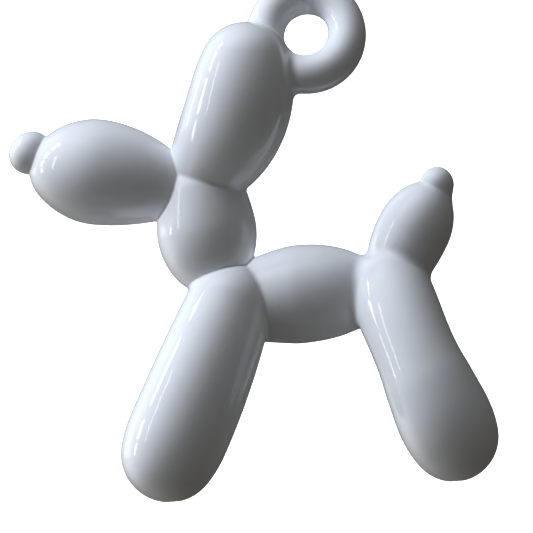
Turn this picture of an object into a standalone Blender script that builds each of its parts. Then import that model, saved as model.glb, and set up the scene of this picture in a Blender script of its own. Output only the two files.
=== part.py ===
"""Twisted balloon dog ornament, cast in one piece, with a loop behind its ears to hang it by.

Lengths are in millimetres until the mesh is scaled to metres at the end. The dog stands on the
plane z = 0 and faces -X. The plane y = 0 is its plane of symmetry, so each ear and leg has a twin
on the other side. Only the loop leans out of that plane.
"""
import math
from dataclasses import dataclass

import bmesh
import bpy
import numpy as np
from mathutils import Matrix

METRES_PER_MM = 0.001

# Hanging loop, a fat ring whose top leans away to +Y. Ring and eye are a little taller than wide,
# and the eye's long way leans a little from the ring's own upright.
LOOP_CENTRE = (10.0, 63.7)
LOOP_LEAN = math.radians(30)
LOOP_RADIUS = 8.8
LOOP_OVAL = 0.4
EYE_RADIUS = 3.4
EYE_OVAL = 0.35
EYE_TILT = -0.2
LOOP_FILLET = 1.2

# Groove between the two twins of a pair, and how deep the flat is under each foot
PAIR_GROOVE = 1.6
FOOT_FLAT_DEPTH = 0.1

# Fineness of the mesh
SPHERES_PER_BALLOON = 28
ROUGH_VOXEL = 0.4
SETTLING_STEPS = 3
FACE_SHARE_KEPT = 0.062

# Finish
WHITE = (0.80, 0.81, 0.82, 1.0)
GLOSS_ROUGHNESS = 0.08


@dataclass
class Balloon:
    """One bubble of the twisted balloon: a run of spheres whose radius swells to a belly.

    Places are (x, z). The axis goes straight from start to end, apart from its bow, which is to
    the right of that way. Fullness tells how square the outline is on each side of the belly, and
    waist how much slimmer the middle is. Spread is half the distance between the twins of a pair
    at start and end, and splay is how far their middle bows apart. A single bubble has no spread.
    """
    start: tuple
    end: tuple
    end_radii: tuple
    girth: float
    belly: float
    fullness: tuple
    fillet: float
    bow: float = 0.0
    waist: float = 0.0
    spread: tuple = (0.0, 0.0)
    splay: float = 0.0

    def is_pair(self):
        return max(self.spread) > 0

    def centres(self, side):
        """Centres of the spheres; side is -1 for the twin at -Y and +1 for the one at +Y."""
        way = np.linspace(0, 1, SPHERES_PER_BALLOON)
        arch = 4 * way * (1 - way)
        start, end = np.array(self.start), np.array(self.end)
        run = end - start
        right = np.array([run[1], -run[0]]) / np.linalg.norm(run)
        flat = start + way[:, None] * run + self.bow * arch[:, None] * right
        across = self.spread[0] + (self.spread[1] - self.spread[0]) * way + self.splay * arch
        return np.column_stack([flat[:, 0], side * across, flat[:, 1]])

    def radii(self):
        way = np.linspace(0, 1, SPHERES_PER_BALLOON)
        before = 1 - np.minimum(way / self.belly, 1)
        after = np.clip((way - self.belly) / (1 - self.belly), 0, 1)
        first_loss = (self.girth - self.end_radii[0]) * before ** self.fullness[0]
        last_loss = (self.girth - self.end_radii[1]) * after ** self.fullness[1]
        return self.girth - first_loss - last_loss - self.waist * (4 * way * (1 - way)) ** 2


EARS = Balloon(start=(-5.5, 45.9), end=(1.1, 59.8), end_radii=(5.0, 6.3), girth=7.4, belly=0.58,
               fullness=(1.8, 2.7), bow=1.3, spread=(0.5, 3.6), splay=0.4, fillet=LOOP_FILLET)
MUZZLE = Balloon(start=(-11.4, 44.0), end=(-24.5, 47.4), end_radii=(4.5, 5.6), girth=7.4,
                 belly=0.72, fullness=(1.8, 1.6), bow=0.4, fillet=0.3)
NOSE = Balloon(start=(-28.3, 50.2), end=(-30.0, 49.9), end_radii=(1.7, 2.8), girth=2.7,
               belly=0.9, fullness=(1.6, 2.0), bow=0.6, fillet=0.3)
NECK = Balloon(start=(-6.1, 42.0), end=(-5.8, 34.5), end_radii=(6.1, 6.0), girth=7.0, belly=0.62,
               fullness=(1.3, 2.0), fillet=0.3)
FRONT_LEGS = Balloon(start=(-3.6, 26.6), end=(-13.4, 6.7), end_radii=(6.1, 6.8), girth=7.2,
                     belly=0.84, fullness=(2.0, 2.4), bow=-0.2, spread=(2.3, 3.9), splay=1.0,
                     fillet=0.4)
TORSO = Balloon(start=(1.6, 27.2), end=(13.7, 27.4), end_radii=(6.0, 5.0), girth=6.9, belly=0.38,
                fullness=(1.2, 2.4), bow=-0.3, fillet=0.5)
HIND_LEGS = Balloon(start=(19.1, 27.0), end=(26.3, 6.2), end_radii=(5.8, 6.3), girth=6.9,
                    belly=0.64, fullness=(1.0, 4.1), bow=0.2, waist=0.8, spread=(2.0, 7.5),
                    splay=3.0, fillet=1.2)
TAIL = Balloon(start=(20.6, 31.2), end=(25.1, 38.7), end_radii=(4.4, 3.4), girth=5.2, belly=0.54,
               fullness=(3.1, 2.0), bow=-0.1, fillet=1.0)
TAIL_TIP = Balloon(start=(25.9, 39.6), end=(26.8, 42.3), end_radii=(2.8, 1.7), girth=2.4,
                   belly=0.72, fullness=(2.6, 1.1), bow=0.2, fillet=0.4)

# In the order in which they are blended together
BALLOONS = [EARS, MUZZLE, NOSE, NECK, FRONT_LEGS, TORSO, HIND_LEGS, TAIL, TAIL_TIP]


def twins(balloon):
    """The sides on which a balloon stands: both for a pair, and either one for a single."""
    return (-1, 1) if balloon.is_pair() else (1,)


def oval_radius(angle, radius, excess, tilt):
    """Radius of an upright oval in one direction, and how fast that grows with the angle."""
    growth = 2 * excess * np.sin(2 * (angle - tilt))
    return radius - excess * np.cos(2 * (angle - tilt)), growth


def loop_radii(angle):
    """The loop's outer radius and its eye's, each with its growth."""
    outer = oval_radius(angle, LOOP_RADIUS, LOOP_OVAL, 0)
    return outer, oval_radius(angle, EYE_RADIUS, EYE_OVAL, EYE_TILT)


def loop_field(points):
    """Distance from the loop's surface at each point, and the direction in which it grows."""
    cos_lean, sin_lean = np.cos(LOOP_LEAN), np.sin(LOOP_LEAN)
    length, above = points[:, 0] - LOOP_CENTRE[0], points[:, 2] - LOOP_CENTRE[1]
    across = cos_lean * points[:, 1] - sin_lean * above
    height = sin_lean * points[:, 1] + cos_lean * above
    from_centre = np.maximum(np.hypot(length, height), 1e-6)
    (outer, outer_growth), (eye, eye_growth) = loop_radii(np.arctan2(height, length))
    radial = from_centre - (outer + eye) / 2
    gap = np.maximum(np.hypot(radial, across), 1e-6)
    outward = radial / gap
    around = (eye_growth - outer_growth) - outward * (eye_growth + outer_growth)
    around = around / 2 / from_centre ** 2
    outward = outward / from_centre
    slope_across = across / gap
    slope_height = outward * height + around * length
    slope = np.column_stack([outward * length - around * height,
                             cos_lean * slope_across + sin_lean * slope_height,
                             cos_lean * slope_height - sin_lean * slope_across])
    return gap - (outer - eye) / 2, slope


def balloon_field(points, balloon, side):
    """The same for one balloon, measured from the nearest sphere along its axis."""
    centres, radii = balloon.centres(side), balloon.radii()
    squares = (points ** 2).sum(axis=1)[:, None] - 2 * points @ centres.T + (centres ** 2).sum(axis=1)
    gaps = np.sqrt(np.maximum(squares, 0)) - radii
    rows = np.arange(len(points))
    inner = np.clip(gaps.argmin(axis=1), 1, len(radii) - 2)
    before, at, after = gaps[rows, inner - 1], gaps[rows, inner], gaps[rows, inner + 1]
    bend = np.maximum(before - 2 * at + after, 1e-9)
    shift = np.clip((before - after) / (2 * bend), -1, 1)
    lower, upper = np.minimum(shift, 0)[:, None], np.maximum(shift, 0)[:, None]
    nearest = (centres[inner] + upper * (centres[inner + 1] - centres[inner])
               + lower * (centres[inner] - centres[inner - 1]))
    distance = at + shift * (after - before) / 2 + shift ** 2 * bend / 2
    slope = points - nearest
    return distance, slope / np.linalg.norm(slope, axis=1)[:, None]


def blend(first, second, fillet):
    """Join two fields, with a fillet where they are about equally near."""
    distance_a, slope_a = first
    distance_b, slope_b = second
    overlap = np.clip(1 - np.abs(distance_a - distance_b) / fillet, 0, None)
    share = np.where(distance_a < distance_b, 1 - overlap / 2, overlap / 2)[:, None]
    distance = np.minimum(distance_a, distance_b) - fillet * overlap ** 2 / 4
    return distance, share * slope_a + (1 - share) * slope_b


def dog_field(points):
    field = loop_field(points)
    for balloon in BALLOONS:
        own = [balloon_field(points, balloon, side) for side in twins(balloon)]
        joined = own[0] if len(own) == 1 else blend(own[0], own[1], PAIR_GROOVE)
        field = blend(field, joined, balloon.fillet)
    return field


def rough_dog():
    """Overlapping spheres along every balloon and around the loop, as one mesh."""
    shape = bmesh.new()
    for balloon in BALLOONS:
        for side in twins(balloon):
            for centre, radius in zip(balloon.centres(side)[::3], balloon.radii()[::3]):
                bmesh.ops.create_icosphere(shape, subdivisions=3, radius=radius,
                                           matrix=Matrix.Translation(centre))
            bmesh.ops.create_icosphere(shape, subdivisions=3, radius=balloon.radii()[-1],
                                       matrix=Matrix.Translation(balloon.centres(side)[-1]))
    for angle in np.linspace(0, 2 * np.pi, 40, endpoint=False):
        (outer, _), (eye, _) = loop_radii(angle)
        height = (outer + eye) / 2 * np.sin(angle)
        centre = (LOOP_CENTRE[0] + (outer + eye) / 2 * np.cos(angle), height * np.sin(LOOP_LEAN),
                  LOOP_CENTRE[1] + height * np.cos(LOOP_LEAN))
        bmesh.ops.create_icosphere(shape, subdivisions=2, radius=(outer - eye) / 2,
                                   matrix=Matrix.Translation(centre))
    mesh = bpy.data.meshes.new("rough_dog")
    shape.to_mesh(mesh)
    shape.free()
    return mesh


def applied(mesh, modifier_type, **settings):
    """The mesh as it is after one modifier."""
    holder = bpy.data.objects.new("holder", mesh)
    bpy.context.scene.collection.objects.link(holder)
    modifier = holder.modifiers.new(modifier_type, modifier_type)
    for name, value in settings.items():
        setattr(modifier, name, value)
    scene_state = bpy.context.evaluated_depsgraph_get()
    result = bpy.data.meshes.new_from_object(holder.evaluated_get(scene_state))
    bpy.data.objects.remove(holder)
    return result


def settle(mesh, steps):
    """Move every vertex onto the surface where the dog's field is zero."""
    flat = np.empty(3 * len(mesh.vertices))
    mesh.vertices.foreach_get("co", flat)
    points = flat.reshape(-1, 3)
    for _ in range(steps):
        distance, slope = dog_field(points)
        steepness = np.maximum((slope ** 2).sum(axis=1), 0.2)
        points = points - (distance / steepness)[:, None] * slope
    mesh.vertices.foreach_set("co", points.ravel())
    mesh.update()


def stand(mesh):
    """Centre the dog over the origin, with the flats to be cut from its feet below z = 0."""
    flat = np.empty(3 * len(mesh.vertices))
    mesh.vertices.foreach_get("co", flat)
    points = flat.reshape(-1, 3)
    low, high = points.min(axis=0), points.max(axis=0)
    mesh.transform(Matrix.Translation((-(low[0] + high[0]) / 2, 0, -low[2] - FOOT_FLAT_DEPTH)))


def white_gloss():
    material = bpy.data.materials.new("white_gloss")
    material.use_nodes = True
    shader = material.node_tree.nodes["Principled BSDF"]
    shader.inputs["Base Color"].default_value = WHITE
    shader.inputs["Roughness"].default_value = GLOSS_ROUGHNESS
    shader.inputs["Metallic"].default_value = 0.0
    return material


def clear_scene():
    for item in list(bpy.data.objects):
        bpy.data.objects.remove(item)


def new_collection(name):
    collection = bpy.data.collections.new(name)
    bpy.context.scene.collection.children.link(collection)
    return collection


def floor_cutter(collection):
    """A box under the plane z = 0, which cuts the flats under the feet."""
    size = 100 * METRES_PER_MM
    shape = bmesh.new()
    bmesh.ops.create_cube(shape, size=size, matrix=Matrix.Translation((0, 0, -size / 2)))
    mesh = bpy.data.meshes.new("floor_cutter")
    shape.to_mesh(mesh)
    shape.free()
    cutter = bpy.data.objects.new("floor_cutter", mesh)
    cutter.hide_render = True
    cutter.display_type = "WIRE"
    collection.objects.link(cutter)
    return cutter


def balloon_dog(collection, cutter):
    mesh = applied(rough_dog(), "REMESH", mode="VOXEL", voxel_size=ROUGH_VOXEL)
    settle(mesh, SETTLING_STEPS)
    mesh = applied(mesh, "REMESH", mode="VOXEL", voxel_size=ROUGH_VOXEL)
    settle(mesh, SETTLING_STEPS)
    mesh = applied(mesh, "DECIMATE", ratio=FACE_SHARE_KEPT, use_collapse_triangulate=True)
    settle(mesh, SETTLING_STEPS)
    stand(mesh)
    mesh.transform(Matrix.Scale(METRES_PER_MM, 4))
    mesh.shade_smooth()
    mesh.materials.append(white_gloss())
    mesh.name = "balloon_dog"
    dog = bpy.data.objects.new("balloon_dog", mesh)
    collection.objects.link(dog)
    flats = dog.modifiers.new("foot flats", "BOOLEAN")
    flats.operation = "DIFFERENCE"
    flats.solver = "EXACT"
    flats.object = cutter
    return dog


clear_scene()
balloon_dog(new_collection("balloon_dog"), floor_cutter(new_collection("cutters")))
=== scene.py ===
"""Glossy white balloon dog ornament on a pale floor, seen from its side.

Lengths in the figure are in millimetres, as in the part; everything that is placed in the scene
is in metres. The dog faces -X. The plane y = 0 is its plane of symmetry, and only the loop leans
out of it.
"""
import math
from dataclasses import dataclass

import bmesh
import bpy
import numpy as np
from mathutils import Matrix, Vector


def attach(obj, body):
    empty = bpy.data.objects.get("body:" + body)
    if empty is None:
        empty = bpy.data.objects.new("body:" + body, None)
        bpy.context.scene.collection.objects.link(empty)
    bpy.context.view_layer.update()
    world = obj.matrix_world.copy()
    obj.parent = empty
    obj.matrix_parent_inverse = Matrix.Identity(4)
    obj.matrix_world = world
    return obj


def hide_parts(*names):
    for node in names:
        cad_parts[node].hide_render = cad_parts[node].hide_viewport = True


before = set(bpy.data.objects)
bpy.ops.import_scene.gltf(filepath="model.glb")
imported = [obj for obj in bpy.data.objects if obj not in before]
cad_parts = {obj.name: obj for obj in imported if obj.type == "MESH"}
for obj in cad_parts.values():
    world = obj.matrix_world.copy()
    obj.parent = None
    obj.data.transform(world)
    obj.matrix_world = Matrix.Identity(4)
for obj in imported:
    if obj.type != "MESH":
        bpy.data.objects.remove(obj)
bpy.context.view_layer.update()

METRES_PER_MM = 0.001

# Hanging loop, a fat ring whose top leans away to +Y. Ring and eye are a little taller than wide,
# and the eye's long way leans a little from the ring's own upright.
LOOP_CENTRE = (10.0, 63.7)
LOOP_LEAN = math.radians(30)
LOOP_RADIUS = 8.8
LOOP_OVAL = 0.4
EYE_RADIUS = 3.4
EYE_OVAL = 0.35
EYE_TILT = -0.2
LOOP_FILLET = 1.2

# Groove between the two twins of a pair, and how deep the flat is under each foot
PAIR_GROOVE = 1.6
FOOT_FLAT_DEPTH = 0.1

# Fineness of the skin, and how wide the finer stretch along each crease is
SPHERES_PER_BALLOON = 28
SKIN_VOXEL = 0.4
REMESHES = 2
SETTLING_STEPS = 3
LEAST_STEEPNESS = 0.2
CREASE_BAND = 1.1

# Finish: how many waves of mottle and ripple there are to the metre, and the ripple's depth in metres
GLAZE_ROUGHNESS = 0.06
GLAZE_IOR = 1.5
MOTTLE_COLOURS = ((0.74, 0.75, 0.775, 1), (0.79, 0.80, 0.82, 1))
MOTTLE_SCALE = 260
RIPPLE_SCALE = 420
RIPPLE_STRENGTH = 0.35
RIPPLE_DEPTH = 0.00006

# The photograph's view: how far away, how much of the world it takes in, and its tilt
VIEW_CENTRE = (0.00215, 0.0, 0.03178)
VIEW_DISTANCE = 1.68
VIEW_WIDTH = 0.0746
VIEW_ROLL = math.radians(4.26)
SENSOR_WIDTH = 36

# Stage: its radius, and the height of its wall and the radius of the bend at its foot
STAGE_RADIUS = 6.0
STAGE_WALL = 6.0
STAGE_BEND = 1.5
STAGE_SIDES = 64
STAGE_BEND_STEPS = 8

# Lights
KEY_TOWARDS = (-0.67, -0.03, 0.74)
KEY_COLOUR = (0.83, 0.905, 1.01)
KEY_ANGLE = math.radians(30)
EVEN_LIGHT = (0.083, 0.079, 0.070, 1)
GLOW_SHARPNESS = 10
PANE_DISTANCE = 1.0


@dataclass
class Balloon:
    """One bubble of the twisted balloon: a run of spheres whose radius swells to a belly.

    Places are (x, z). The axis goes straight from start to end, apart from its bow, which is to
    the right of that way. Fullness tells how square the outline is on each side of the belly, and
    waist how much slimmer the middle is. Spread is half the distance between the twins of a pair
    at start and end, and splay is how far their middle bows apart. A single bubble has no spread.
    """
    start: tuple
    end: tuple
    end_radii: tuple
    girth: float
    belly: float
    fullness: tuple
    fillet: float
    bow: float = 0.0
    waist: float = 0.0
    spread: tuple = (0.0, 0.0)
    splay: float = 0.0

    def is_pair(self):
        return max(self.spread) > 0

    def centres(self, side):
        """Centres of the spheres; side is -1 for the twin at -Y and +1 for the one at +Y."""
        way = np.linspace(0, 1, SPHERES_PER_BALLOON)
        arch = 4 * way * (1 - way)
        start, end = np.array(self.start), np.array(self.end)
        run = end - start
        right = np.array([run[1], -run[0]]) / np.linalg.norm(run)
        flat = start + way[:, None] * run + self.bow * arch[:, None] * right
        across = self.spread[0] + (self.spread[1] - self.spread[0]) * way + self.splay * arch
        return np.column_stack([flat[:, 0], side * across, flat[:, 1]])

    def radii(self):
        way = np.linspace(0, 1, SPHERES_PER_BALLOON)
        before = 1 - np.minimum(way / self.belly, 1)
        after = np.clip((way - self.belly) / (1 - self.belly), 0, 1)
        first_loss = (self.girth - self.end_radii[0]) * before ** self.fullness[0]
        last_loss = (self.girth - self.end_radii[1]) * after ** self.fullness[1]
        return self.girth - first_loss - last_loss - self.waist * (4 * way * (1 - way)) ** 2


EARS = Balloon(start=(-5.5, 45.9), end=(1.1, 59.8), end_radii=(5.0, 6.3), girth=7.4, belly=0.58,
               fullness=(1.8, 2.7), bow=1.3, spread=(0.5, 3.6), splay=0.4, fillet=LOOP_FILLET)
MUZZLE = Balloon(start=(-11.4, 44.0), end=(-24.5, 47.4), end_radii=(4.5, 5.6), girth=7.4,
                 belly=0.72, fullness=(1.8, 1.6), bow=0.4, fillet=0.3)
NOSE = Balloon(start=(-28.3, 50.2), end=(-30.0, 49.9), end_radii=(1.7, 2.8), girth=2.7,
               belly=0.9, fullness=(1.6, 2.0), bow=0.6, fillet=0.3)
NECK = Balloon(start=(-6.1, 42.0), end=(-5.8, 34.5), end_radii=(6.1, 6.0), girth=7.0, belly=0.62,
               fullness=(1.3, 2.0), fillet=0.3)
FRONT_LEGS = Balloon(start=(-3.6, 26.6), end=(-13.4, 6.7), end_radii=(6.1, 6.8), girth=7.2,
                     belly=0.84, fullness=(2.0, 2.4), bow=-0.2, spread=(2.3, 3.9), splay=1.0,
                     fillet=0.4)
TORSO = Balloon(start=(1.6, 27.2), end=(13.7, 27.4), end_radii=(6.0, 5.0), girth=6.9, belly=0.38,
                fullness=(1.2, 2.4), bow=-0.3, fillet=0.5)
HIND_LEGS = Balloon(start=(19.1, 27.0), end=(26.3, 6.2), end_radii=(5.8, 6.3), girth=6.9,
                    belly=0.64, fullness=(1.0, 4.1), bow=0.2, waist=0.8, spread=(2.0, 7.5),
                    splay=3.0, fillet=1.2)
TAIL = Balloon(start=(20.6, 31.2), end=(25.1, 38.7), end_radii=(4.4, 3.4), girth=5.2, belly=0.54,
               fullness=(3.1, 2.0), bow=-0.1, fillet=1.0)
TAIL_TIP = Balloon(start=(25.9, 39.6), end=(26.8, 42.3), end_radii=(2.8, 1.7), girth=2.4,
                   belly=0.72, fullness=(2.6, 1.1), bow=0.2, fillet=0.4)

# In the order in which they are blended together
BALLOONS = [EARS, MUZZLE, NOSE, NECK, FRONT_LEGS, TORSO, HIND_LEGS, TAIL, TAIL_TIP]


def twins(balloon):
    """The sides on which a balloon stands: both for a pair, and either one for a single."""
    return (-1, 1) if balloon.is_pair() else (1,)


def oval_radius(angle, radius, excess, tilt):
    """Radius of an upright oval in one direction, and how fast that grows with the angle."""
    growth = 2 * excess * np.sin(2 * (angle - tilt))
    return radius - excess * np.cos(2 * (angle - tilt)), growth


def loop_radii(angle):
    """The loop's outer radius and its eye's, each with its growth."""
    outer = oval_radius(angle, LOOP_RADIUS, LOOP_OVAL, 0)
    return outer, oval_radius(angle, EYE_RADIUS, EYE_OVAL, EYE_TILT)


def loop_field(points):
    """Distance from the loop's surface at each point, and the direction in which it grows."""
    cos_lean, sin_lean = np.cos(LOOP_LEAN), np.sin(LOOP_LEAN)
    length, above = points[:, 0] - LOOP_CENTRE[0], points[:, 2] - LOOP_CENTRE[1]
    across = cos_lean * points[:, 1] - sin_lean * above
    height = sin_lean * points[:, 1] + cos_lean * above
    from_centre = np.maximum(np.hypot(length, height), 1e-6)
    (outer, outer_growth), (eye, eye_growth) = loop_radii(np.arctan2(height, length))
    radial = from_centre - (outer + eye) / 2
    gap = np.maximum(np.hypot(radial, across), 1e-6)
    outward = radial / gap
    around = (eye_growth - outer_growth) - outward * (eye_growth + outer_growth)
    around = around / 2 / from_centre ** 2
    outward = outward / from_centre
    slope_across = across / gap
    slope_height = outward * height + around * length
    slope = np.column_stack([outward * length - around * height,
                             cos_lean * slope_across + sin_lean * slope_height,
                             cos_lean * slope_height - sin_lean * slope_across])
    return gap - (outer - eye) / 2, slope


def balloon_field(points, balloon, side):
    """The same for one balloon, measured from the nearest sphere along its axis."""
    centres, radii = balloon.centres(side), balloon.radii()
    squares = (points ** 2).sum(axis=1)[:, None] - 2 * points @ centres.T + (centres ** 2).sum(axis=1)
    gaps = np.sqrt(np.maximum(squares, 0)) - radii
    rows = np.arange(len(points))
    inner = np.clip(gaps.argmin(axis=1), 1, len(radii) - 2)
    before, at, after = gaps[rows, inner - 1], gaps[rows, inner], gaps[rows, inner + 1]
    bend = np.maximum(before - 2 * at + after, 1e-9)
    shift = np.clip((before - after) / (2 * bend), -1, 1)
    lower, upper = np.minimum(shift, 0)[:, None], np.maximum(shift, 0)[:, None]
    nearest = (centres[inner] + upper * (centres[inner + 1] - centres[inner])
               + lower * (centres[inner] - centres[inner - 1]))
    distance = at + shift * (after - before) / 2 + shift ** 2 * bend / 2
    slope = points - nearest
    return distance, slope / np.linalg.norm(slope, axis=1)[:, None]


def blend(first, second, fillet):
    """Join two fields, with a fillet where they are about equally near."""
    distance_a, slope_a = first
    distance_b, slope_b = second
    overlap = np.clip(1 - np.abs(distance_a - distance_b) / fillet, 0, None)
    share = np.where(distance_a < distance_b, 1 - overlap / 2, overlap / 2)[:, None]
    distance = np.minimum(distance_a, distance_b) - fillet * overlap ** 2 / 4
    return distance, share * slope_a + (1 - share) * slope_b


def dog_field(points):
    field = loop_field(points)
    for balloon in BALLOONS:
        own = [balloon_field(points, balloon, side) for side in twins(balloon)]
        joined = own[0] if len(own) == 1 else blend(own[0], own[1], PAIR_GROOVE)
        field = blend(field, joined, balloon.fillet)
    return field


def rough_dog():
    """Overlapping spheres along every balloon and around the loop, as one mesh."""
    shape = bmesh.new()
    for balloon in BALLOONS:
        for side in twins(balloon):
            for centre, radius in zip(balloon.centres(side)[::3], balloon.radii()[::3]):
                bmesh.ops.create_icosphere(shape, subdivisions=3, radius=radius,
                                           matrix=Matrix.Translation(centre))
            bmesh.ops.create_icosphere(shape, subdivisions=3, radius=balloon.radii()[-1],
                                       matrix=Matrix.Translation(balloon.centres(side)[-1]))
    for angle in np.linspace(0, 2 * np.pi, 40, endpoint=False):
        (outer, _), (eye, _) = loop_radii(angle)
        height = (outer + eye) / 2 * np.sin(angle)
        centre = (LOOP_CENTRE[0] + (outer + eye) / 2 * np.cos(angle), height * np.sin(LOOP_LEAN),
                  LOOP_CENTRE[1] + height * np.cos(LOOP_LEAN))
        bmesh.ops.create_icosphere(shape, subdivisions=2, radius=(outer - eye) / 2,
                                   matrix=Matrix.Translation(centre))
    mesh = bpy.data.meshes.new("rough_dog")
    shape.to_mesh(mesh)
    shape.free()
    return mesh


def remeshed(mesh):
    """The outer skin of a mesh, as even small quads."""
    holder = bpy.data.objects.new("holder", mesh)
    bpy.context.scene.collection.objects.link(holder)
    modifier = holder.modifiers.new("skin", "REMESH")
    modifier.mode = "VOXEL"
    modifier.voxel_size = SKIN_VOXEL
    scene_state = bpy.context.evaluated_depsgraph_get()
    skin = bpy.data.meshes.new_from_object(holder.evaluated_get(scene_state))
    bpy.data.objects.remove(holder)
    return skin


def vertex_places(mesh):
    flat = np.empty(3 * len(mesh.vertices))
    mesh.vertices.foreach_get("co", flat)
    return flat.reshape(-1, 3)


def settle(mesh):
    """Move every vertex onto the surface where the dog's field is zero, and give its normal."""
    points = vertex_places(mesh)
    for _ in range(SETTLING_STEPS):
        distance, slope = dog_field(points)
        steepness = np.maximum((slope ** 2).sum(axis=1), LEAST_STEEPNESS)
        points = points - (distance / steepness)[:, None] * slope
    mesh.vertices.foreach_set("co", points.ravel())
    mesh.update()
    slope = dog_field(points)[1]
    return slope / np.linalg.norm(slope, axis=1)[:, None]


def near_a_crease(points):
    """True where two balloons, or a balloon and the loop, are about equally near."""
    distances = [loop_field(points)[0]]
    for balloon in BALLOONS:
        for side in twins(balloon):
            distances.append(balloon_field(points, balloon, side)[0])
    nearest, second = np.sort(distances, axis=0)[:2]
    return second - nearest < CREASE_BAND


def refine_creases(mesh):
    """Halve the edges along the creases."""
    crease = near_a_crease(vertex_places(mesh))
    shape = bmesh.new()
    shape.from_mesh(mesh)
    edges = [edge for edge in shape.edges if all(crease[vert.index] for vert in edge.verts)]
    bmesh.ops.subdivide_edges(shape, edges=edges, cuts=1, use_grid_fill=True)
    shape.to_mesh(mesh)
    shape.free()


def dog_skin():
    """The dog as one fine mesh, which stands where the CAD solid stands."""
    mesh = rough_dog()
    for _ in range(REMESHES):
        mesh = remeshed(mesh)
        settle(mesh)
    refine_creases(mesh)
    normals = settle(mesh)
    points = vertex_places(mesh)
    low, high = points.min(axis=0), points.max(axis=0)
    points += (-(low[0] + high[0]) / 2, 0, -low[2] - FOOT_FLAT_DEPTH)
    flat = points[:, 2] < 0
    normals[flat] = (0, 0, -1)
    points[flat, 2] = 0
    mesh.vertices.foreach_set("co", (points * METRES_PER_MM).ravel())
    mesh.update()
    mesh.shade_smooth()
    mesh.normals_split_custom_set_from_vertices(normals)
    mesh.name = "dog_skin"
    skin = bpy.data.objects.new("dog_skin", mesh)
    bpy.context.scene.collection.objects.link(skin)
    return skin


def add_node(tree, kind, **settings):
    node = tree.nodes.new(kind)
    for name, value in settings.items():
        setattr(node, name, value)
    return node


def new_material(name):
    """A material, its node tree and its shader."""
    material = bpy.data.materials.new(name)
    material.use_nodes = True
    return material, material.node_tree, material.node_tree.nodes["Principled BSDF"]


def noise(tree, scale, detail):
    """A noise that is fixed to the dog."""
    place = add_node(tree, "ShaderNodeTexCoord").outputs["Object"]
    pattern = add_node(tree, "ShaderNodeTexNoise")
    pattern.inputs["Scale"].default_value = scale
    pattern.inputs["Detail"].default_value = detail
    tree.links.new(place, pattern.inputs["Vector"])
    return pattern.outputs["Fac"]


def white_gloss():
    """Cast white gloss: a faint mottle in the colour, and a skin that is not quite even."""
    material, tree, shader = new_material("white_gloss")
    shader.inputs["Roughness"].default_value = GLAZE_ROUGHNESS
    shader.inputs["IOR"].default_value = GLAZE_IOR
    tint = add_node(tree, "ShaderNodeMix", data_type="RGBA")
    tint.inputs["A"].default_value, tint.inputs["B"].default_value = MOTTLE_COLOURS
    tree.links.new(noise(tree, MOTTLE_SCALE, detail=3), tint.inputs["Factor"])
    tree.links.new(tint.outputs["Result"], shader.inputs["Base Color"])
    bump = add_node(tree, "ShaderNodeBump")
    bump.inputs["Strength"].default_value = RIPPLE_STRENGTH
    bump.inputs["Distance"].default_value = RIPPLE_DEPTH
    tree.links.new(noise(tree, RIPPLE_SCALE, detail=2), bump.inputs["Height"])
    tree.links.new(bump.outputs["Normal"], shader.inputs["Normal"])
    return material


def stage_white():
    """A dull white that shines by itself, so that no corner of the stage is grey."""
    material, _, shader = new_material("stage_white")
    shader.inputs["Base Color"].default_value = (0.9, 0.9, 0.9, 1)
    shader.inputs["Roughness"].default_value = 0.9
    shader.inputs["Specular IOR Level"].default_value = 0
    shader.inputs["Emission Color"].default_value = (1, 1, 1, 1)
    shader.inputs["Emission Strength"].default_value = 1.0
    return material


def build_stage():
    """A round pale floor with a wall that curves up from it all round."""
    shape = bmesh.new()
    profile = [(0.0, 0.0), (STAGE_RADIUS - STAGE_BEND, 0.0)]
    for angle in np.linspace(0, math.pi / 2, STAGE_BEND_STEPS + 1)[1:]:
        profile.append((STAGE_RADIUS - STAGE_BEND + STAGE_BEND * math.sin(angle),
                        STAGE_BEND - STAGE_BEND * math.cos(angle)))
    profile.append((STAGE_RADIUS, STAGE_WALL))
    verts = [shape.verts.new((x, 0, z)) for x, z in profile]
    edges = [shape.edges.new(pair) for pair in zip(verts, verts[1:])]
    bmesh.ops.spin(shape, geom=verts + edges, cent=(0, 0, 0), axis=(0, 0, 1), angle=2 * math.pi,
                   steps=STAGE_SIDES, use_merge=True)
    bmesh.ops.remove_doubles(shape, verts=shape.verts, dist=1e-6)
    bmesh.ops.recalc_face_normals(shape, faces=shape.faces)
    mesh = bpy.data.meshes.new("stage")
    shape.to_mesh(mesh)
    shape.free()
    mesh.shade_smooth()
    mesh.materials.append(stage_white())
    stage = bpy.data.objects.new("stage", mesh)
    stage.visible_diffuse = False
    stage.visible_glossy = False
    stage.visible_shadow = False
    bpy.context.scene.collection.objects.link(stage)


@dataclass
class Glow:
    """A soft patch of light in the studio all round the dog."""
    towards: tuple
    colour: tuple


GLOWS = [
    Glow(towards=(-0.92, 0.29, -0.27), colour=(1.8, 1.8, 1.75)),
    Glow(towards=(-0.79, -0.32, 0.52), colour=(0.75, 0.83, 0.95)),
    Glow(towards=(-0.28, -0.26, 0.92), colour=(1.2, 1.28, 1.4)),
]


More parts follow.
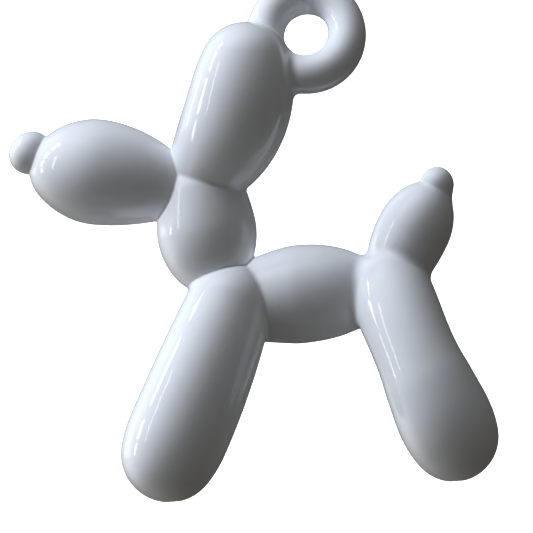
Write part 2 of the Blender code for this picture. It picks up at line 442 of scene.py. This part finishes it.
def glow_light(tree, way, glow):
    """The light of one glow, which fades with the angle between the way and the glow's middle."""
    towards = add_node(tree, "ShaderNodeVectorMath", operation="DOT_PRODUCT")
    towards.inputs[1].default_value = Vector(glow.towards).normalized()
    tree.links.new(way, towards.inputs[0])
    fall = add_node(tree, "ShaderNodeMath", operation="MULTIPLY_ADD")
    fall.inputs[1].default_value = GLOW_SHARPNESS
    fall.inputs[2].default_value = -GLOW_SHARPNESS
    tree.links.new(towards.outputs["Value"], fall.inputs[0])
    strength = add_node(tree, "ShaderNodeMath", operation="EXPONENT")
    tree.links.new(fall.outputs["Value"], strength.inputs[0])
    light = add_node(tree, "ShaderNodeVectorMath", operation="SCALE")
    light.inputs[0].default_value = glow.colour
    tree.links.new(strength.outputs["Value"], light.inputs["Scale"])
    return light.outputs["Vector"]


def build_world():
    """An even light and the glows."""
    world = bpy.data.worlds.new("studio")
    bpy.context.scene.world = world
    world.use_nodes = True
    tree = world.node_tree
    way = add_node(tree, "ShaderNodeTexCoord").outputs["Generated"]
    total = add_node(tree, "ShaderNodeRGB").outputs["Color"]
    total.default_value = EVEN_LIGHT
    for glow in GLOWS:
        both = add_node(tree, "ShaderNodeVectorMath", operation="ADD")
        tree.links.new(total, both.inputs[0])
        tree.links.new(glow_light(tree, way, glow), both.inputs[1])
        total = both.outputs["Vector"]
    tree.links.new(total, tree.nodes["Background"].inputs["Color"])


def build_key():
    """A very soft light that leaves no shadow and no highlight."""
    data = bpy.data.lights.new("key", "SUN")
    data.angle = KEY_ANGLE
    data.energy = math.pi
    data.color = KEY_COLOUR
    data.use_shadow = False
    light = bpy.data.objects.new("key", data)
    light.rotation_euler = Vector(KEY_TOWARDS).to_track_quat("Z", "Y").to_euler()
    light.visible_glossy = False
    bpy.context.scene.collection.objects.link(light)


@dataclass
class Pane:
    """A pane of light. Its rise is from straight left and its turn is towards the viewer."""
    rise: float
    turn: float
    width: float
    height: float
    radiance: float
    colour: tuple = (0.93, 0.97, 1)


# A tall window, two slits beside it, and the pale wall that it is in
PANES = [
    Pane(rise=3, turn=-1, width=0.11, height=0.15, radiance=7),
    Pane(rise=16, turn=-1, width=0.12, height=0.2, radiance=8),
    Pane(rise=31, turn=-1, width=0.12, height=0.22, radiance=8),
    Pane(rise=47, turn=-1, width=0.11, height=0.22, radiance=7),
    Pane(rise=20, turn=20, width=0.05, height=0.46, radiance=6),
    Pane(rise=12, turn=-27, width=0.06, height=0.36, radiance=4),
    Pane(rise=29.6, turn=-26.3, width=0.62, height=1.1, radiance=0.9, colour=(0.8, 0.9, 1)),
]


def hang_pane(pane):
    """Hang a pane in the studio, where it only shows in the gloss."""
    rise, turn = math.radians(pane.rise), math.radians(pane.turn)
    towards = Vector((-math.cos(rise) * math.cos(turn), -math.sin(turn),
                      math.sin(rise) * math.cos(turn)))
    data = bpy.data.lights.new("pane", "AREA")
    data.shape = "RECTANGLE"
    data.size = pane.width
    data.size_y = pane.height
    data.energy = pane.radiance * math.pi * pane.width * pane.height
    data.color = pane.colour
    light = bpy.data.objects.new("pane", data)
    light.location = Vector(VIEW_CENTRE) + PANE_DISTANCE * towards
    light.rotation_euler = towards.to_track_quat("Z", "Y").to_euler()
    light.visible_camera = False
    light.visible_diffuse = False
    bpy.context.scene.collection.objects.link(light)


def build_camera():
    data = bpy.data.cameras.new("camera")
    data.sensor_width = SENSOR_WIDTH
    data.lens = SENSOR_WIDTH * VIEW_DISTANCE / VIEW_WIDTH
    data.clip_start = 0.01
    camera = bpy.data.objects.new("camera", data)
    bpy.context.scene.collection.objects.link(camera)
    camera.matrix_world = (Matrix.Translation(VIEW_CENTRE)
                           @ Matrix.Translation((0, -VIEW_DISTANCE, 0))
                           @ Matrix.Rotation(math.pi / 2, 4, "X")
                           @ Matrix.Rotation(-VIEW_ROLL, 4, "Z"))
    bpy.context.scene.camera = camera


skin = dog_skin()
skin.data.materials.append(white_gloss())
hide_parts("balloon_dog")
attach(skin, "root")
build_stage()
build_world()
build_key()
for pane in PANES:
    hang_pane(pane)
build_camera()
bpy.context.scene.view_settings.view_transform = "Standard"
